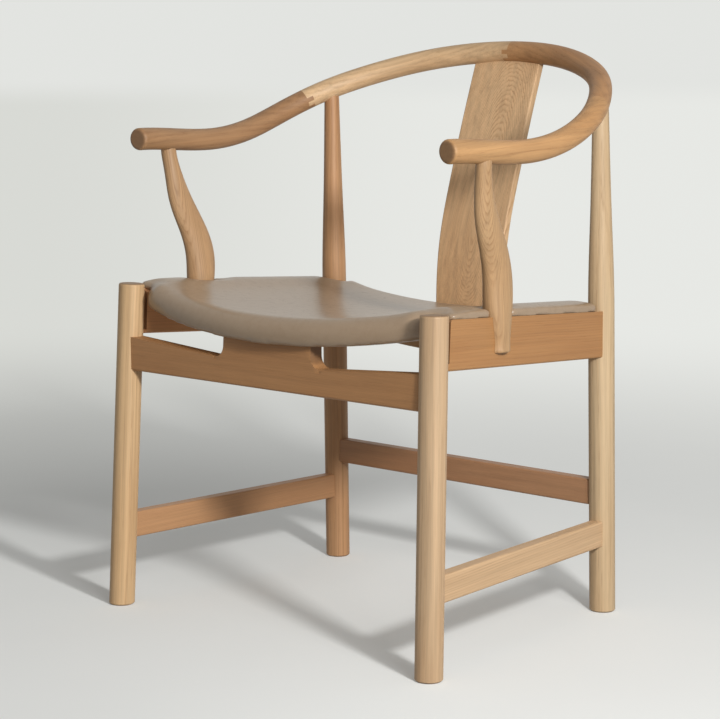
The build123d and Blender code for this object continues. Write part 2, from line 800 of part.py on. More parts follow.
def offset_points(curve):
    """Points one splat thickness behind the front face."""
    points = []
    for place in (0, 0.25, 0.45, 0.65, 0.85, 1):
        direction = curve % place
        points.append(curve @ place + Vector(direction.Y, -direction.X) * splat_thickness)
    return points


def splat_tenon(gap):
    """Flat tenon at the top of the splat."""
    y = crest_rear_y - splat_top_forward + splat_thickness / 2
    top = crest_top_height - crest_radius + splat_tenon_depth + gap * 5
    length = 2 * splat_tenon_depth + splat_tenon_thickness / 2
    width = splat_width - 2 * splat_shoulder + 2 * gap
    size = Box(width, splat_tenon_thickness + 2 * gap, length)
    return Pos(0, y, top - length / 2) * size


def back_splat(crest):
    """Splat: rounded board coped under the crest rail, its foot let into the rear rail."""
    board = splat_body()
    long_edges = board.edges().sort_by(SortBy.LENGTH)[-4:]
    board = fillet(long_edges, splat_edge_round)
    board = board - crest
    board = max(board.solids(), key=lambda solid: solid.volume)
    return board + splat_tenon(0)


# ---------------------------------------------------------------- screws

def side_screw_places(side):
    """Where screws come up through a side rail."""
    places = []
    for share in side_screw_shares:
        y = front_leg_rake + (rear_foot_y - front_leg_rake) * share
        x = side * (rail_outer_x(y) - rail_thickness / 2)
        places.append((x, y, bed_height(x, y) - side_rail_height))
    return places


def front_screw_places():
    """Where screws come up through the front rail."""
    x = front_rail_raised_half * front_screw_share
    return [(side * x, front_rail_y(), front_rail_bottom) for side in (-1, 1)]


def rear_screw_places():
    """Where screws come up through the rear rail."""
    x = rear_foot_half_spacing * rear_screw_share
    y = seat_rear_y() - screw_head_diameter
    return [(side * x, y, bed_height(x, y) - rear_rail_height) for side in (-1, 1)]


def screw_tip(place):
    """Height of a screw's tip, inside the panel."""
    x, y, _ = place
    return bed_height(x, y) + leather_thickness + screw_bite * panel_depth(x)


def screw_head_z(place):
    """Height of the bearing face of a screw's head."""
    return place[2] + screw_counterbore


def screw_at(place):
    """Pan head screw, pointing up."""
    x, y, _ = place
    head_z = screw_head_z(place)
    length = screw_tip(place) - head_z
    head = Pos(x, y, head_z - screw_head_height / 2) * Cylinder(screw_head_diameter / 2, screw_head_height)
    shank = Pos(x, y, head_z + length / 2) * Cylinder(screw_diameter / 2, length)
    return head + shank


def screw_hole(place):
    """Counterbored hole for a screw, all the way up into the panel."""
    x, y, bottom = place
    head_z = screw_head_z(place)
    depth = head_z - bottom + screw_head_diameter
    bore = Pos(x, y, head_z - depth / 2) * Cylinder(screw_head_diameter / 2 + screw_head_gap, depth)
    top = screw_tip(place) + screw_gap
    shank = Pos(x, y, (head_z + top) / 2) * Cylinder(screw_diameter / 2 + screw_gap, top - head_z)
    return bore + shank


def all_screw_places():
    """Every seat screw."""
    return side_screw_places(1) + side_screw_places(-1) + front_screw_places() + rear_screw_places()


# ---------------------------------------------------------------- seat pieces

def seat_pieces():
    """Plywood panel, foam and leather cover."""
    inner_block = tall_block(seat_outline(leather_thickness))
    lining = level(leather_thickness)
    panel = seat_layer(lining, panel_top, leather_thickness) & inner_block
    foam = seat_layer(panel_top, foam_top, leather_thickness) & inner_block
    core = seat_layer(lining, foam_top, leather_thickness) & inner_block
    cover = (seat_layer(level(0), cover_top, 0) & tall_block(seat_outline(0))) - core
    opening_front = front_rail_y() + seat_opening_margin
    opening_rear = seat_rear_y() - seat_opening_margin
    opening_half = rail_outer_x(opening_rear) - rail_thickness - seat_opening_margin
    size_y = opening_rear - opening_front
    window = RectangleRounded(2 * opening_half, size_y, seat_opening_round)
    opening = tall_block(Pos(0, opening_front + size_y / 2) * window)
    cover = cover - (seat_layer(level(-leather_thickness), level(2 * leather_thickness), 0) & opening)
    for place in all_screw_places():
        panel = panel - screw_hole(place)
        cover = cover - screw_hole(place)
    return {"seat_panel": panel, "seat_foam": foam, "seat_cover": cover}


def build():
    """Every piece of the chair, by name."""
    blank = seat_blank(leg_diameter)
    crest = crest_round()
    pieces = {}
    for side, name in ((-1, "left"), (1, "right")):
        pieces["front_" + name + "_leg"] = front_leg(side)
        pieces["rear_" + name + "_leg"] = rear_leg(side, crest)
        pieces[name + "_seat_rail"] = side_rail(side, blank)
        pieces[name + "_stretcher"] = stretcher(*side_stretcher_line(side), side_stretcher_tenon(side, 0))
        pieces[name + "_arm_support"] = arm_support(side, crest, blank)
    pieces["front_seat_rail"] = front_rail(blank)
    pieces["rear_seat_rail"] = rear_rail(blank)
    pieces["rear_stretcher"] = stretcher(*rear_stretcher_line(), rear_stretcher_tenon(0))
    pieces["back_splat"] = back_splat(crest)
    drilled = crest - splat_tenon(mortise_gap)
    for side in (1, -1):
        drilled = drilled - rear_leg_tenon(side, mortise_gap) - support_tenon(side, mortise_gap)
    pieces.update(crest_pieces(drilled))
    pieces.update(seat_pieces())
    dowels = [dowel_at(place, 0) for side in (-1, 1) for place in support_dowel_places(side)]
    pieces["arm_support_dowels"] = Compound(children=dowels)
    pieces["seat_screws"] = Compound(children=[screw_at(place) for place in all_screw_places()])
    feet = [leg_at(side, 0) for side in (-1, 1) for leg_at in (front_leg_at, rear_leg_at)]
    pieces["leg_glides"] = Compound(children=[glide(foot, 0) for foot in feet])
    return pieces


for node, piece in build().items():
    solids = [to_origin * solid for solid in piece.solids()]
    export_step(Compound(children=solids) if len(solids) > 1 else solids[0], "parts/" + node + ".step")
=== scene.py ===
from math import atan2, cos, pi, radians, sin, sqrt
import bpy
import numpy as np
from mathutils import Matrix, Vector


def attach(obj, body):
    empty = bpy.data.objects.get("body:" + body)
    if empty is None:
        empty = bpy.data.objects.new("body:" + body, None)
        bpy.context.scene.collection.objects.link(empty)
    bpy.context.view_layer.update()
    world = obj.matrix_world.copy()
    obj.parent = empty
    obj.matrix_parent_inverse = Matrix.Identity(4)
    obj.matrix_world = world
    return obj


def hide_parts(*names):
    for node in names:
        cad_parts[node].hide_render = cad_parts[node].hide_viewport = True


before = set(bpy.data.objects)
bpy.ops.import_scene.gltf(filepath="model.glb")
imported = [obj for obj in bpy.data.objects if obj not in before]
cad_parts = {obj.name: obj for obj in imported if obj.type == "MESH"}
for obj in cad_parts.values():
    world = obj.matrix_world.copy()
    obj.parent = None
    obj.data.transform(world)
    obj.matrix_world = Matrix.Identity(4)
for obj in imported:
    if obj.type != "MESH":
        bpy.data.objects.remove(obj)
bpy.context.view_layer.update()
scene = bpy.context.scene
print("frame loaded:", len(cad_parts), "nodes")


# shader building

class Shader:
    # a short way to write the node tree of a material or world: most calls return the new node's output

    def __init__(self, owner):
        owner.use_nodes = True
        self.owner = owner
        self.tree = owner.node_tree
        self.tree.nodes.clear()
        self.column = 0

    def node(self, kind, **settings):
        made = self.tree.nodes.new(kind)
        made.location = (180 * self.column, -40 * (self.column % 7))
        self.column += 1
        for key, value in settings.items():
            setattr(made, key, value)
        return made

    def feed(self, socket, value):
        if isinstance(value, bpy.types.NodeSocket):
            self.tree.links.new(value, socket)
        elif value is not None:
            socket.default_value = value

    def feedColour(self, socket, value):
        self.feed(socket, value if isinstance(value, bpy.types.NodeSocket) else (*value, 1.0))

    def place(self):
        return self.node("ShaderNodeTexCoord").outputs["Object"]

    def math(self, operation, a, b=None, c=None):
        made = self.node("ShaderNodeMath", operation=operation)
        for socket, value in zip(made.inputs, (a, b, c)):
            self.feed(socket, value)
        return made.outputs[0]

    def vector(self, operation, a, b=None, out=0):
        made = self.node("ShaderNodeVectorMath", operation=operation)
        self.feed(made.inputs[0], a)
        self.feed(made.inputs[1], b)
        return made.outputs[out]

    def dot(self, a, b):
        return self.vector("DOT_PRODUCT", a, b, out=1)

    def noise(self, where, size, detail=2.0, rough=0.5, lift=0.0, out="Fac"):
        # size: bumps per metre, one number or one for each axis
        if isinstance(size, tuple):
            where, size = self.vector("MULTIPLY", where, size), 1.0
        made = self.node("ShaderNodeTexNoise")
        self.feed(made.inputs["Vector"], where)
        made.inputs["Scale"].default_value = size
        made.inputs["Detail"].default_value = detail
        made.inputs["Roughness"].default_value = rough
        made.inputs["Distortion"].default_value = lift
        return made.outputs[out]

    def cells(self, where, size):
        made = self.node("ShaderNodeTexVoronoi", feature="DISTANCE_TO_EDGE")
        self.feed(made.inputs["Vector"], where)
        made.inputs["Scale"].default_value = size
        return made.outputs[0]

    def ramp(self, value, stops):
        made = self.node("ShaderNodeValToRGB")
        self.feed(made.inputs[0], value)
        line = made.color_ramp
        while len(line.elements) < len(stops):
            line.elements.new(1.0)
        for element, (where, colour) in zip(line.elements, stops):
            element.position = where
            element.color = (*colour, 1.0)
        return made.outputs[0]

    def greys(self, value, stops):
        return self.ramp(value, [(where, (grey,) * 3) for where, grey in stops])

    def band(self, value, low, high, start=0.0, end=1.0):
        made = self.node("ShaderNodeMapRange", interpolation_type="SMOOTHSTEP")
        for socket, amount in zip(made.inputs, (value, low, high, start, end)):
            self.feed(socket, amount)
        return made.outputs[0]

    def mix(self, share, a, b, blend="MIX"):
        made = self.node("ShaderNodeMix", data_type="RGBA", blend_type=blend)
        self.feed(made.inputs[0], share)
        self.feedColour(made.inputs[6], a)
        self.feedColour(made.inputs[7], b)
        return made.outputs[2]

    def surface(self, colour, rough, height, depth, strength, **fixed):
        made = self.node("ShaderNodeBsdfPrincipled")
        self.feedColour(made.inputs["Base Color"], colour)
        self.feed(made.inputs["Roughness"], rough)
        for key, value in fixed.items():
            made.inputs[key.replace("_", " ")].default_value = value
        bump = self.node("ShaderNodeBump")
        bump.inputs["Strength"].default_value = strength
        bump.inputs["Distance"].default_value = depth
        self.feed(bump.inputs["Height"], height)
        self.feed(made.inputs["Normal"], bump.outputs[0])
        return self.finish("ShaderNodeOutputMaterial", made.outputs[0])

    def blend(self, share, first, second):
        made = self.node("ShaderNodeMixShader")
        for socket, value in zip(made.inputs, (share, first, second)):
            self.feed(socket, value)
        return made.outputs[0]

    def finish(self, kind, shader):
        self.feed(self.node(kind).inputs[0], shader)
        return self.owner


def newShader(name):
    return Shader(bpy.data.materials.new(name))


def dress(node, material):
    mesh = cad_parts[node].data
    mesh.materials.clear()
    mesh.materials.append(material)


def logFrame(shader, pith, grain):
    # object coordinates turned so that Z runs along the grain and the pith is the Z axis
    turn = Vector((0, 0, 1)).rotation_difference(Vector(grain).normalized()).to_euler()
    mapping = shader.node("ShaderNodeMapping", vector_type="TEXTURE")
    mapping.inputs["Location"].default_value = pith
    mapping.inputs["Rotation"].default_value = turn
    shader.feed(mapping.inputs["Vector"], shader.place())
    return mapping.outputs[0]


# wood

ash = {
    "pale": (0.600, 0.412, 0.236),       # late wood, linear colour
    "brown": (0.395, 0.232, 0.112),      # rings of open pores
    "rosy": (0.500, 0.300, 0.150),       # slow change of tone along the board
    "rosyShare": 0.50,
    "pit": (0.200, 0.105, 0.045),        # inside the pores
    "endTone": (0.175, 0.095, 0.046),    # end grain
    "endGrain": 0.62,                    # from where a turned face shows its darker ends
    "endShare": 0.75,
    "ringWidth": 0.0030,
    "season": ((0.0, 0.15), (0.08, 1.0), (0.26, 0.80), (0.48, 0.12), (0.85, 0.0), (1.0, 0.15)),
    "yearFade": (0.30, 0.66, 0.30, 1.0), # some years' rings are weaker than others
    "contrast": 0.55,                    # how much darker the rings are
    "warp": 0.006,                       # how far the rings wander
    "ripple": 0.9,                       # fine unevenness of the rings, in ring widths
    "bow": 0.0,                          # curve of the pith, 1/m
    "warpSize": (9.0, 9.0, 2.2),         # every size: bumps per metre across, across and along the grain
    "rippleSize": (260.0, 260.0, 3.0),
    "yearSize": (120.0, 120.0, 0.6),
    "poreSize": (1500.0, 1500.0, 30.0),
    "fibreSize": (900.0, 900.0, 7.0),
    "streakSize": (150.0, 150.0, 2.2),
    "cloudSize": (16.0, 16.0, 3.5),
    "streaks": 0.55,
    "streakTones": ((0.28, 0.70), (0.50, 1.00), (0.74, 1.22)),
    "fibres": 0.45,
    "fibreTones": ((0.25, 0.76), (0.75, 1.16)),
    "poreTone": 0.40,
    "latePores": 0.20,                   # share of the pores that is left between the rings
    "roughness": 0.46,
    "poreRoughness": 0.20,
    "fibreRoughness": 0.12,
    "relief": 0.00014,                   # depth of the pores and fibres
}


def ashWood(name, pith, grain, tone, **changes):
    # ring number = distance from the pith / ring width, and its fraction colours each year's growth.
    # For a bent board the pith is bent too: bow * (place along the grain)^2 is added across it.
    look = {**ash, **changes}
    s = newShader(name)
    log = logFrame(s, pith, grain)
    shift = s.vector("SUBTRACT", s.noise(log, look["warpSize"], 3.0, out="Color"), (0.5, 0.5, 0.5))
    bent = s.vector("ADD", log, s.vector("MULTIPLY", shift, (2 * look["warp"], 2 * look["warp"], 0.0)))
    along = s.vector("MULTIPLY", log, (0.0, 0.0, sqrt(look["bow"])))
    lean = s.node("ShaderNodeCombineXYZ")
    s.feed(lean.inputs["Y"], s.dot(along, along))
    bent = s.vector("ADD", bent, lean.outputs[0])
    reach = s.vector("LENGTH", s.vector("MULTIPLY", bent, (1.0, 1.0, 0.0)), out=1)
    years = s.math("DIVIDE", reach, look["ringWidth"])
    years = s.math("ADD", years, s.math("MULTIPLY", s.noise(bent, look["rippleSize"]), look["ripple"]))
    early = s.greys(s.math("FRACT", years), look["season"])
    early = s.math("MULTIPLY", early, s.band(s.noise(bent, look["yearSize"], 1.0), *look["yearFade"]))
    pores = s.band(s.noise(bent, look["poreSize"], 1.0), 0.52, 0.70)
    opened = s.math("MULTIPLY_ADD", early, 1 - look["latePores"], look["latePores"])
    pores = s.math("MULTIPLY", pores, opened)
    fibre = s.noise(bent, look["fibreSize"], 3.0, 0.6)
    streak = s.noise(bent, look["streakSize"], 3.0, 0.55)
    cloud = s.noise(log, look["cloudSize"])
    colour = s.mix(s.math("MULTIPLY", early, look["contrast"]), look["pale"], look["brown"])
    colour = s.mix(s.band(cloud, 0.36, 0.72, 0.0, look["rosyShare"]), colour, look["rosy"])
    colour = s.mix(look["streaks"], colour, s.greys(streak, look["streakTones"]), "MULTIPLY")
    colour = s.mix(look["fibres"], colour, s.greys(fibre, look["fibreTones"]), "MULTIPLY")
    colour = s.mix(s.math("MULTIPLY", pores, look["poreTone"]), colour, look["pit"])
    # tone: the piece's colour factor, which for some pieces also holds painted shade besides the board's
    # own colour
    colour = s.mix(1.0, colour, tone, "MULTIPLY")
    faces = s.node("ShaderNodeTexCoord").outputs["Normal"]
    facing = s.math("ABSOLUTE", s.dot(faces, Vector(grain).normalized()))
    colour = s.mix(s.band(facing, look["endGrain"], 0.97, 0.0, look["endShare"]), colour, look["endTone"])
    rough = s.math("MULTIPLY_ADD", pores, look["poreRoughness"], look["roughness"])
    rough = s.math("MULTIPLY_ADD", fibre, look["fibreRoughness"], rough)
    hollow = s.math("ADD", pores, s.math("MULTIPLY", early, 0.25))
    height = s.math("SUBTRACT", s.math("MULTIPLY", fibre, 0.30), hollow)
    return s.surface(colour, rough, height, look["relief"], 0.6, Specular_IOR_Level=0.42)


legWood = {"endGrain": 0.30, "ringWidth": 0.0062, "contrast": 0.40, "streaks": 0.75, "warp": 0.004}
railWood = {
    "ringWidth": 0.0017, "contrast": 0.30, "streaks": 0.28, "poreTone": 0.20, "ripple": 0.5,
    "warp": 0.003, "roughness": 0.42,
}
wideRail = {**railWood, "ringWidth": 0.0034, "contrast": 0.42}
supportWood = {"ringWidth": 0.0022, "ripple": 0.5}
boldSupport = {**supportWood, "contrast": 0.62}
splatWood = {"ringWidth": 0.0021, "warp": 0.003, "ripple": 1.1, "contrast": 0.85, "bow": 0.5}
crestWood = {"ringWidth": 0.0075, "contrast": 0.34, "streaks": 0.60, "warp": 0.003}

# The tones were matched to how bright each piece looks as lit, so some of them hold painted shade as well
# as the board's colour.
woods = [     # node, log pith, grain direction, tone, and what differs from plain ash
    ("front_right_leg", (0.335, -0.300, 0.0), (-0.022, 0.042, 1.0), (0.93, 0.93, 0.96), legWood),
    ("front_left_leg", (-0.250, -0.320, 0.0), (0.022, 0.042, 1.0), (0.98, 0.95, 0.88), legWood),
    ("rear_right_leg", (0.300, 0.120, 0.0), (-0.010, -0.022, 1.0), (0.95, 1.01, 1.05), legWood),
    # rear left leg: its darker tone is painted shade of the crest and arm
    ("rear_left_leg", (-0.310, 0.130, 0.0), (0.010, -0.022, 1.0), (0.75, 0.60, 0.50), legWood),
    # front seat rail: its darker tone is partly the board's own and partly painted shade under the seat lip
    ("front_seat_rail", (0.0, -0.190, 0.200), (1.0, 0.020, 0.008), (0.72, 0.53, 0.38), railWood),
    ("rear_seat_rail", (0.0, 0.190, 0.200), (1.0, 0.015, 0.0), (0.78, 0.68, 0.60), railWood),
    ("right_seat_rail", (0.120, -0.050, 0.330), (-0.066, 1.0, -0.066), (0.73, 0.54, 0.36), railWood),
    ("left_seat_rail", (-0.120, -0.050, 0.330), (0.066, 1.0, -0.066), (1.13, 0.83, 0.63), railWood),
    ("right_stretcher", (0.300, -0.050, 0.040), (-0.066, 1.0, 0.020), (1.02, 0.99, 0.98), wideRail),
    ("left_stretcher", (-0.300, -0.050, 0.040), (0.066, 1.0, 0.020), (0.74, 0.58, 0.48), railWood),
    ("rear_stretcher", (0.0, 0.120, 0.090), (1.0, 0.020, 0.020), (0.66, 0.51, 0.45), railWood),
    ("right_arm_support", (0.309, -0.156, 0.500), (-0.050, -0.050, 1.0), (0.82, 0.75, 0.67), boldSupport),
    ("left_arm_support", (-0.244, -0.154, 0.500), (-0.100, -0.100, 1.0), (0.73, 0.65, 0.58), supportWood),
    ("back_splat", (0.006, 0.1805, 0.560), (0.060, 0.240, 1.0), (1.09, 1.04, 1.00), splatWood),
    ("crest_left_arm", (-0.300, -0.050, 0.480), (-0.020, 1.0, 0.060), (0.58, 0.47, 0.39), crestWood),
    ("crest_left_back", (-0.150, 0.180, 0.600), (1.0, 0.620, 0.300), (1.03, 1.01, 0.99), crestWood),
    # crest right back: its darker tone is partly another board's colour and partly painted shade on its
    # inner face, which faces away from the key
    ("crest_right_back", (0.150, 0.180, 0.600), (-1.0, 0.620, 0.300), (0.74, 0.57, 0.42), crestWood),
    ("crest_right_arm", (0.300, -0.050, 0.480), (0.020, 1.0, 0.060), (0.92, 0.76, 0.58), crestWood),
    ("arm_support_dowels", (0.0, -0.110, 0.400), (1.0, 0.0, 0.0), (0.95, 0.90, 0.85), {}),
]
for node, pith, grain, tone, changes in woods:
    dress(node, ashWood("ash " + node.replace("_", " "), pith, grain, tone, **changes))
print("ash on", len(woods), "nodes")


# plywood, screws and foot inserts

plywood = {
    "pith": (0.0, 0.0, 0.150),
    "grain": (0.0, 1.0, -0.06),
    "figureSize": (30.0, 30.0, 2.0),     # bumps per metre across, across and along the grain
    "fibreSize": (1100.0, 1100.0, 12.0),
    "tones": ((0.30, (0.42, 0.28, 0.15)), (0.50, (0.62, 0.45, 0.27)), (0.70, (0.52, 0.36, 0.20))),
    "fibreTones": ((0.2, 0.75), (0.8, 1.15)),
}
zinc = {
    "markSize": (300.0, 300.0, 2600.0),
    "dullSize": 160.0,
    "tones": ((0.3, (0.46, 0.46, 0.45)), (0.7, (0.66, 0.66, 0.64))),
}
felt = {
    "hairSize": 900.0,
    "tones": ((0.3, (0.045, 0.040, 0.036)), (0.7, (0.130, 0.118, 0.105))),
}


def plywoodSheet():
    # flat sawn face veneer: a slow figure along the grain, and fine fibres
    s = newShader("birch plywood")
    log = logFrame(s, plywood["pith"], plywood["grain"])
    figure = s.noise(log, plywood["figureSize"], 4.0, 0.6, 0.6)
    fibre = s.noise(log, plywood["fibreSize"])
    colour = s.mix(0.5, s.ramp(figure, plywood["tones"]), s.greys(fibre, plywood["fibreTones"]), "MULTIPLY")
    rough = s.math("MULTIPLY_ADD", fibre, 0.2, 0.52)
    return s.surface(colour, rough, fibre, 0.0001, 0.5, Specular_IOR_Level=0.35)


def zincSteel():
    # plated steel with faint turning marks and dulled patches
    s = newShader("zinc plated steel")
    place = s.place()
    marks = s.noise(place, zinc["markSize"])
    dull = s.noise(place, zinc["dullSize"])
    rough = s.math("MULTIPLY_ADD", dull, 0.25, 0.24)
    return s.surface(s.ramp(dull, zinc["tones"]), rough, marks, 0.00005, 0.4, Metallic=1.0)


def footFelt():
    # pressed felt: short tangled hairs, with painted shade darkening the hollows
    s = newShader("pressed felt")
    hair = s.noise(s.place(), felt["hairSize"], 5.0, 0.7, 1.5)
    return s.surface(s.ramp(hair, felt["tones"]), 0.95, hair, 0.0006, 0.8, Sheen_Weight=0.3)


dress("seat_panel", plywoodSheet())
dress("seat_screws", zincSteel())
dress("leg_glides", footFelt())
print("plywood, steel and felt on")


# seat

seat = {
    "originShift": -0.2625,     # the middle of the front feet lies this far in front of the origin
    "pitch": 3.05,              # degrees down towards the back
    "dishRadius": 1.250,        # of the underside, from side to side
    "referenceY": 0.036,
    "underside": 0.4204,
    "thickness": 0.0154,
    "frontY": -0.0125,
    "rearY": 0.4208,
    "lipDrop": 0.034,
    "lipInnerRadius": 0.005,
    "bowRadius": 0.900,         # of the front edge, seen from above
    "frontSteps": 24,
    "frontNotchX": 0.2515,
    "frontNotchY": 0.0438,
    "rearNotch": (0.2198, 0.3850),
    "supportNotch": (0.2510, 0.1244, 0.1772),
    "sideX": (0.2874, 0.2605),  # of the side edges, at the two legs' middles
    "sideY": (0.0178, 0.4152),
    "outerCorner": 0.009,       # radii of the outline's corners
    "legCorner": 0.015,
    "supportMouth": 0.005,
    "supportCorner": 0.004,
    "rearCorner": 0.004,
    "slopeCurve": 1.5,          # power of the slopes below
    "rollWidth": 0.043,         # at each side, where the padding thins towards the edge
    "rollFall": 0.0042,
    "ridge": 0.0036,            # fuller padding along the sides
    "ridgeInward": 0.036,
    "ridgeSpread": 0.034,
    "cornerEnd": 0.090,         # the front corners are thinner towards the legs
    "cornerInner": 0.200,
    "cornerBlend": 0.040,
    "cornerReach": 0.032,
    "cornerFall": 0.32,
    "edgeRound": 0.008,         # of the leather over every edge
    "edgeFall": 0.30,
    "overlap": 0.0015,          # of the leather over the panel's cover line, so that no ply shows
    "voxel": 0.0045,
    "crown": 0.0030,            # how far the padding may swell
    "crownRoom": 0.6,           # share of the crown that the flat slab is thinner by
    "window": (0.195, 0.055, 0.380),    # half width, front and back of the opening in the underside
    "windowDepth": 0.005,
    "windowSlope": 0.003,
    "windowSkin": 0.004,        # only what lies lower than this is pushed up into the opening
}
padding = {
    "steps": 20,
    "quality": 5,
    "mass": 0.4,
    "stretch": 40,
    "bend": 2.0,
    "pressure": 4.0,
    "sink": 0.001,              # how far the run may take the leather down
    "rim": 0.020,               # the swelling fades out over this width at the outline
}
leather = {
    "skin": (0.325, 0.226, 0.142),
    "skinWorn": (0.355, 0.254, 0.166),
    "pebble": 720.0,            # grain of the leather, per metre
    "finer": 2.3,               # the second grain is this much finer
    "driftSize": 240.0,
    "drift": 0.0016,            # how far the cells are pulled out of shape
    "toneSize": 9.0,
    "mottleSize": 85.0,
    "creaseShadeTones": ((0.0, 0.70), (0.8, 1.06)),
    "roughness": 0.30,
    "relief": 0.00010,
}


def frontBow(x):
    # sweep back = R - sqrt(R^2 - x^2), up to the cut corner
    reach = np.minimum(np.abs(x), seat["frontNotchX"])
    return seat["bowRadius"] - np.sqrt(seat["bowRadius"] ** 2 - reach ** 2)


def sideLine(y):
    # the seat's side edge, straight from leg to leg
    (x0, x1), (y0, y1) = seat["sideX"], seat["sideY"]
    return x0 + (x1 - x0) * (y - y0) / (y1 - y0)


def bendLine(x):
    # where the seat starts to roll over the front
    return seat["frontY"] + frontBow(x) + seat["thickness"] + seat["lipInnerRadius"]


lipArc = pi / 2 * (seat["lipInnerRadius"] + seat["thickness"] / 2)
lipLength = lipArc + seat["lipDrop"] - seat["thickness"] - seat["lipInnerRadius"]


def roundCorner(before, corner, after, radius, steps=6):
    # tangent arc between two straight runs
    a, b, c = (np.array(p) for p in (before, corner, after))
    u, v = (a - b) / np.linalg.norm(a - b), (c - b) / np.linalg.norm(c - b)
    half = np.arccos(np.clip(u @ v, -1, 1)) / 2
    middle = b + (u + v) / np.linalg.norm(u + v) * radius / sin(half)
    start, end = b + u * radius / np.tan(half), b + v * radius / np.tan(half)
    angles = [atan2(*(p - middle)[::-1]) for p in (start, end)]
    turn = (angles[1] - angles[0] + pi) % (2 * pi) - pi
    sweep = angles[0] + turn * np.linspace(0, 1, steps)
    return middle + radius * np.stack([np.cos(sweep), np.sin(sweep)], 1)


def seatOutline():
    # right half of the seat laid flat, from the middle of its front edge round to the back, then mirrored,
    # and widened all round by the overlap
    x = np.linspace(0.0, seat["frontNotchX"], seat["frontSteps"])
    front = np.stack([x, bendLine(x) - lipLength], 1)
    sx, sLow, sHigh = seat["supportNotch"]
    rx, ry = seat["rearNotch"]
    y0, rearY = seat["frontNotchY"], seat["rearY"]
    corners = [
        (tuple(front[-1]), 0.0),
        ((seat["frontNotchX"], y0), seat["legCorner"]),
        ((sideLine(y0), y0), seat["outerCorner"]),
        ((sideLine(sLow), sLow), seat["supportMouth"]),
        ((sx, sLow), seat["supportCorner"]),
        ((sx, sHigh), seat["supportCorner"]),
        ((sideLine(sHigh), sHigh), seat["supportMouth"]),
        ((sideLine(ry), ry), seat["outerCorner"]),
        ((rx, ry), seat["legCorner"]),
        ((rx, rearY), seat["rearCorner"]),
        ((0.0, rearY), 0.0),
    ]
    points = [front]
    for (before, _), (corner, radius), (after, _) in zip(corners, corners[1:], corners[2:]):
        points.append(roundCorner(before, corner, after, radius))
    half = np.concatenate(points)
    line = np.concatenate([half, [[0.0, rearY]], (half * (-1, 1))[:0:-1]])
    run = np.roll(line, -1, axis=0) - np.roll(line, 1, axis=0)
    run /= np.linalg.norm(run, axis=1)[:, None]
    return line + seat["overlap"] * np.stack([run[:, 1], -run[:, 0]], 1)


def meshFrom(name, points, faces):
    made = bpy.data.meshes.new(name)
    made.from_pydata(points, [], faces)
    made.update()
    piece = bpy.data.objects.new(name, made)
    scene.collection.objects.link(piece)
    return piece


def applied(piece):
    # the piece with its modifiers worked into its mesh
    bpy.context.view_layer.update()
    solved = piece.evaluated_get(bpy.context.evaluated_depsgraph_get())
    mesh = bpy.data.meshes.new_from_object(solved)
    piece.modifiers.clear()
    piece.data = mesh
    return piece


def getPoints(mesh):
    got = np.empty(len(mesh.vertices) * 3)
    mesh.vertices.foreach_get("co", got)
    return got.reshape(-1, 3)


def setPoints(mesh, points):
    mesh.vertices.foreach_set("co", points.ravel())
    mesh.update()


def flatPad():
    # the outline as a flat slab, in even quads
    outline = seatOutline()
    count = len(outline)
    low = np.zeros((count, 1))
    high = np.full((count, 1), seat["thickness"] - seat["crown"] * seat["crownRoom"])
    points = np.concatenate([np.hstack([outline, low]), np.hstack([outline, high])])
    caps = [tuple(range(count))[::-1], tuple(range(count, 2 * count))]
    around = [(i, (i + 1) % count, count + (i + 1) % count, count + i) for i in range(count)]
    pad = meshFrom("seatPad", points.tolist(), caps + around)
    fine = pad.modifiers.new("even quads", "REMESH")
    fine.mode = "VOXEL"
    fine.voxel_size = seat["voxel"]
    return applied(pad)


def swell(pad):
    # the padding pushes the leather up; the underside, the outline and the rolled lip are held
    rest = getPoints(pad.data)
    moved = rest
    cloth = pad.modifiers.new("padding", "CLOTH")
    cloth.settings.quality = padding["quality"]
    cloth.settings.mass = padding["mass"]
    cloth.settings.tension_stiffness = padding["stretch"]
    cloth.settings.compression_stiffness = padding["stretch"]
    cloth.settings.bending_stiffness = padding["bend"]
    cloth.settings.use_pressure = True
    cloth.settings.uniform_pressure_force = padding["pressure"]
    cloth.settings.effector_weights.gravity = 0.0
    cloth.collision_settings.use_self_collision = False
    for step in range(1, padding["steps"] + 1):
        scene.frame_set(step)
    applied(pad)
    scene.frame_set(1)
    moved = getPoints(pad.data)
    top = np.clip(rest[:, 2] / seat["thickness"], 0, 1) ** 2
    lift = np.clip((moved - rest)[:, 2] * top, -padding["sink"], seat["crown"])
    lift *= np.clip(edgeReach(rest[:, :2])[0] / padding["rim"], 0, 1)
    rest[:, 2] += lift
    setPoints(pad.data, rest)


def edgeReach(places):
    # each place's distance from the outline, and the outline's nearest point
    outline = seatOutline()
    reach, foot = np.full(len(places), 1.0), places.copy()
    for a, b in zip(outline, np.roll(outline, -1, axis=0)):
        run = b - a
        share = np.clip((places - a) @ run / max(run @ run, 1e-12), 0, 1)
        near = a + share[:, None] * run
        gap = np.linalg.norm(places - near, axis=1)
        closer = gap < reach
        reach[closer], foot[closer] = gap[closer], near[closer]
    return reach, foot


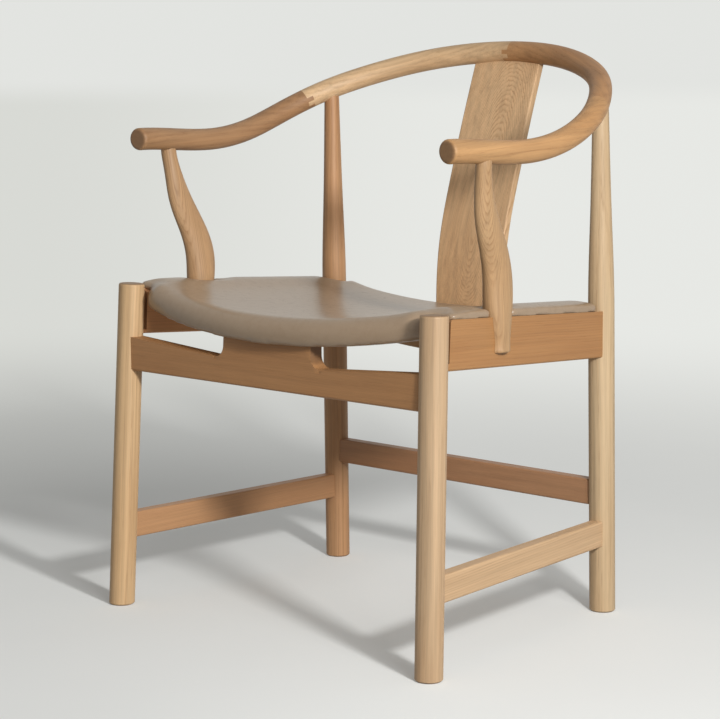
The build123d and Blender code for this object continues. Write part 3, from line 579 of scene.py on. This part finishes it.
def roundEdges(pad):
    # the walls go onto the outline, then a quarter ellipse rounds the edges:
    # height share = 1 - fall (1 - sqrt(1 - (1 - d / r)^2)), and the sides get a long soft slope:
    # thickness - fall (1 - d / width)^curve + ridge exp(-((d - inward) / spread)^2)
    flat = getPoints(pad.data)
    reach, foot = edgeReach(flat[:, :2])
    wall = reach < seat["voxel"] / 2
    flat[wall, :2], reach[wall] = foot[wall], 0.0
    x, y, w = flat.T
    short = 1 - np.clip(reach / seat["edgeRound"], 0, 1)
    w = w * (1 - seat["edgeFall"] * (1 - np.sqrt(1 - short ** 2)))
    forward = np.clip((seat["cornerEnd"] - y) / seat["cornerBlend"], 0, 1)
    outward = np.clip((np.abs(x) - seat["cornerInner"]) / seat["cornerBlend"], 0, 1)
    slope = np.clip(1 - reach / seat["cornerReach"], 0, 1) ** seat["slopeCurve"]
    w = w * (1 - seat["cornerFall"] * (forward * outward) * slope)
    inward = sideLine(y) - np.abs(x)
    fall = seat["rollFall"] * (1 - np.clip(inward / seat["rollWidth"], 0, 1)) ** seat["slopeCurve"]
    ridge = seat["ridge"] * np.exp(-((inward - seat["ridgeInward"]) / seat["ridgeSpread"]) ** 2)
    setPoints(pad.data, np.stack([x, y, w * (1 + (ridge - fall) / seat["thickness"])], 1))


def bendSeat(pad):
    # s = distance past the bend line. Behind it the pad lies flat, then it turns about the lip's middle,
    # then hangs straight. The whole is dished by R - sqrt(R^2 - x^2) and tilted by the pitch.
    x, y, w = getPoints(pad.data).T
    halfWidth, front, back = seat["window"]
    inside = np.minimum.reduce([halfWidth - np.abs(x), y - front, back - y])
    opening = seat["windowDepth"] * np.clip(inside / seat["windowSlope"], 0, 1)
    w = np.maximum(w, opening * (w < seat["windowSkin"]))
    bend = bendLine(x)
    s = np.clip(bend - y, 0.0, None)
    angle = np.clip(s / (lipArc / (pi / 2)), 0.0, pi / 2)
    hang = np.clip(s - lipArc, 0.0, None)
    radius = seat["lipInnerRadius"] + w
    along = np.where(s > 0, bend - radius * np.sin(angle), y) - seat["referenceY"]
    up = np.where(s > 0, radius * np.cos(angle) - seat["lipInnerRadius"] - hang, w)
    rise = seat["dishRadius"] - np.sqrt(seat["dishRadius"] ** 2 - x ** 2)
    tilt = radians(seat["pitch"])
    newY = seat["referenceY"] + along * cos(tilt) + up * sin(tilt)
    newZ = seat["underside"] + rise - along * sin(tilt) + up * cos(tilt)
    setPoints(pad.data, np.stack([x, newY + seat["originShift"], newZ], 1))


def seatLeather():
    # pebbled grain from two sizes of cell, with painted shade in the creases between them, and a slow
    # change of tone
    s = newShader("taupe leather")
    place = s.place()
    drift = s.noise(place, leather["driftSize"], out="Color")
    shifted = s.vector("ADD", place, s.vector("MULTIPLY", drift, (leather["drift"],) * 3))
    coarse = s.band(s.cells(shifted, leather["pebble"]), 0.0, 0.22)
    fine = s.band(s.cells(shifted, leather["pebble"] * leather["finer"]), 0.0, 0.25)
    pebble = s.math("ADD", coarse, s.math("MULTIPLY", fine, 0.4))
    tone = s.noise(place, leather["toneSize"], 3.0)
    mottle = s.noise(place, leather["mottleSize"], 3.0)
    wear = s.math("MULTIPLY_ADD", mottle, 0.45, s.math("MULTIPLY", tone, 0.75))
    colour = s.mix(s.band(wear, 0.35, 0.85), leather["skin"], leather["skinWorn"])
    # painted shade: the creases between the pebbles are darkened
    colour = s.mix(0.35, colour, s.greys(pebble, leather["creaseShadeTones"]), "MULTIPLY")
    rough = s.math("MULTIPLY_ADD", pebble, -0.04, leather["roughness"])
    rough = s.math("MULTIPLY_ADD", mottle, 0.06, rough)
    height = s.math("ADD", pebble, s.math("MULTIPLY", mottle, 0.25))
    return s.surface(colour, rough, height, leather["relief"], 0.12, Specular_IOR_Level=0.55)


pad = flatPad()
swell(pad)
roundEdges(pad)
bendSeat(pad)
pad.data.polygons.foreach_set("use_smooth", np.ones(len(pad.data.polygons), bool))
fine = pad.modifiers.new("soft edges", "SUBSURF")
fine.levels = fine.render_levels = 1
pad.data.materials.clear()
pad.data.materials.append(seatLeather())
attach(pad, "root")
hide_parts("seat_cover", "seat_foam")
print("seat made:", len(pad.data.polygons), "faces")


# floor, light and camera

studio = {
    "floorSeen": (0.880, 0.888, 0.865),     # the floor's colour
    "floorWorn": 0.985,                     # its mottling
    "floorBounce": (0.450, 0.445, 0.430),   # its colour for the light that it throws back
    "floorSize": 60.0,                      # from its middle to its edges
    "floorScale": 2.9,                      # share of the way to the horizon = d / (d + this)
    # near the chair the floor glows with this share of the background tone: painted light that makes the
    # chair's shadow on the floor lighter
    "floorGlow": 0.22,                      # share of the background's own tone in the floor near the chair
    "glowShares": (0.20, 0.52),             # of the way to the horizon, where that share goes up to 1
    # the left tones are darker with painted shade and the right ones lighter with painted light of the key
    "nearShadedLeft": (0.560, 0.566, 0.540),
    "nearLitRight": (0.780, 0.788, 0.758),
    "backShadedLeft": (0.690, 0.700, 0.665),
    "backLitRight": (0.800, 0.810, 0.780),
    "backHigh": (0.765, 0.775, 0.750),
    "backShares": (0.34, 0.54),             # from the near tones to the back ones
    "highShares": (0.90, 0.95),             # and on to the one that the world has
    "rightwards": (0.7490, 0.6626, 0.0),    # level direction from the left tones to the right ones
    "leftToRight": (-0.16, 0.06),
    "ambient": 0.265,
    "lampAim": (0.0, 0.0, 0.4),
    "keyPower": 6.9,                        # at any distance, as its light doesn't fall off
    "keyPlace": (1.33, -0.64, 0.90),
    "keySize": 0.15,
    "fillPower": 55.0,
    "fillPlace": (3.23, -1.51, 2.17),
    "fillSize": 1.7,
    "cameraPlace": (1.9371, -2.2598, 0.7857),
    "cameraTarget": (0.0, -0.0703, 0.3592),
    "lens": 106.42,
    "sensor": 36.0,
}


# mixes from the painted-shade tone on the left to the painted-light tone on the right
def shadedToLitTone(s, across, left, right):
    return s.mix(s.band(across, *studio["leftToRight"]), studio[left], studio[right])


def seenRay(s):
    # 1 for rays that show the background itself
    ray = s.node("ShaderNodeLightPath")
    seen = s.math("MAXIMUM", ray.outputs["Is Camera Ray"], ray.outputs["Is Glossy Ray"])
    return s.math("MAXIMUM", seen, ray.outputs["Is Transmission Ray"])


def floorSheet():
    # pale floor that keeps the chair's shadow and fades into the background, which is
    # darker on the left and lighter on the right of a fixed front corner of the studio:
    # painted shade on the left, where the key falls off and the chair's shadow lies on the backdrop,
    # and painted light of the key on the right. Near the chair a share of that glow paints light into the
    # floor's shadow
    s = newShader("pale floor")
    place = s.place()
    away = s.vector("SUBTRACT", place, (*studio["cameraPlace"][:2], 0.0))
    across = s.dot(s.vector("NORMALIZE", away), Vector(studio["rightwards"]))
    reach = s.vector("LENGTH", place, out=1)
    share = s.math("DIVIDE", reach, s.math("ADD", reach, studio["floorScale"]))
    # the glow share near the chair is painted light over the floor's shadow
    glowing = s.band(share, *studio["glowShares"], studio["floorGlow"], 1.0)
    near = shadedToLitTone(s, across, "nearShadedLeft", "nearLitRight")
    back = s.mix(s.band(share, *studio["backShares"]), near, shadedToLitTone(s, across, "backShadedLeft", "backLitRight"))
    back = s.mix(s.band(share, *studio["highShares"]), back, studio["backHigh"])
    worn = tuple(c * studio["floorWorn"] for c in studio["floorSeen"])
    paint = s.mix(s.band(s.noise(place, 3.0, 3.0), 0.3, 0.7), studio["floorSeen"], worn)
    seen = seenRay(s)
    ground = s.node("ShaderNodeBsdfDiffuse")
    s.feed(ground.inputs["Color"], s.mix(seen, studio["floorBounce"], paint))
    glow = s.node("ShaderNodeEmission")
    s.feed(glow.inputs[0], back)
    blended = s.blend(s.math("MULTIPLY", glowing, seen), ground.outputs[0], glow.outputs[0])
    return s.finish("ShaderNodeOutputMaterial", blended)


def skyTone(s, colour, strength):
    made = s.node("ShaderNodeBackground")
    s.feedColour(made.inputs["Color"], colour)
    s.feed(made.inputs["Strength"], strength)
    return made.outputs[0]


def softLamp(name, place, size, power):
    lamp = bpy.data.lights.new(name, "AREA")
    lamp.shape = "DISK"
    lamp.size = size
    lamp.energy = power
    made = bpy.data.objects.new(name, lamp)
    made.location = place
    made.rotation_euler = (Vector(studio["lampAim"]) - Vector(place)).to_track_quat("-Z", "Y").to_euler()
    made.visible_camera = False
    scene.collection.objects.link(made)
    return lamp


edge = studio["floorSize"]
floorCorners = [(-edge, -edge, 0), (edge, -edge, 0), (edge, edge, 0), (-edge, edge, 0)]
floor = meshFrom("floor", floorCorners, [(0, 1, 2, 3)])
floor.data.materials.append(floorSheet())

scene.world = bpy.data.worlds.new("studio")
sky = Shader(scene.world)
lighting = skyTone(sky, (1.0, 1.0, 1.0), studio["ambient"])
shown = skyTone(sky, studio["backHigh"], 1.0)
sky.finish("ShaderNodeOutputWorld", sky.blend(seenRay(sky), lighting, shown))

key = softLamp("key", studio["keyPlace"], studio["keySize"], studio["keyPower"])
key.use_nodes = True
steady = key.node_tree.nodes.new("ShaderNodeLightFalloff")
steady.inputs["Strength"].default_value = 1.0
key.node_tree.links.new(steady.outputs["Constant"], key.node_tree.nodes["Emission"].inputs["Strength"])
softLamp("fill", studio["fillPlace"], studio["fillSize"], studio["fillPower"])

lens = bpy.data.cameras.new("camera")
lens.lens = studio["lens"]
lens.sensor_width = studio["sensor"]
camera = bpy.data.objects.new("camera", lens)
camera.location = studio["cameraPlace"]
ahead = Vector(studio["cameraTarget"]) - camera.location
camera.rotation_euler = ahead.to_track_quat("-Z", "Y").to_euler()
scene.collection.objects.link(camera)
scene.camera = camera
scene.view_settings.view_transform = "Standard"
print("studio ready")
